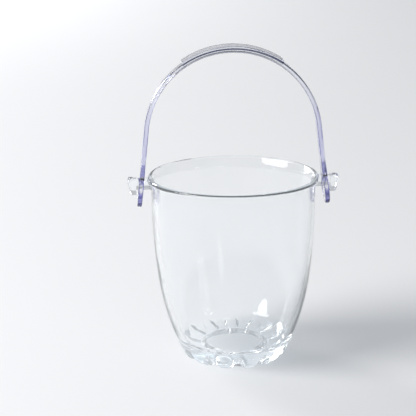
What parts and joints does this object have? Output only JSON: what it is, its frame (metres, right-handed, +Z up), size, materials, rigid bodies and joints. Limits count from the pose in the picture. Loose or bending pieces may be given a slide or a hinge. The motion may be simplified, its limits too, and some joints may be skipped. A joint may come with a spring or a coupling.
{
  "type": "ice bucket",
  "caption": "Pressed-glass ice bucket with a belly-shaped wall, scalloped foot, side lugs and a swinging clear plastic bail handle with a grip pad.",
  "frame": {"origin": "on the bucket's axis, at the surface its foot stands on", "axes": "+Z up along the bucket's axis; the lugs lie along X and the bail, upright at rest, swings about X; +Y towards the back"},
  "size_m": [0.1558, 0.126, 0.237],
  "materials": {
    "pressed_glass": "clear, fire polished",
    "clear_plastic": "clear with a faint violet tint, glossy"
  },
  "bodies": {
    "bucket": {"glass_bucket": "pressed_glass"},
    "bail": {"bail_handle": "clear_plastic"}
  },
  "joints": [
    {"name": "bail_swing", "type": "hinge", "parent": "bucket", "child": "bail", "pos_m": [0, 0, 0.132], "axis": [1, 0, 0], "range_deg": [-142, 142]}
  ]
}
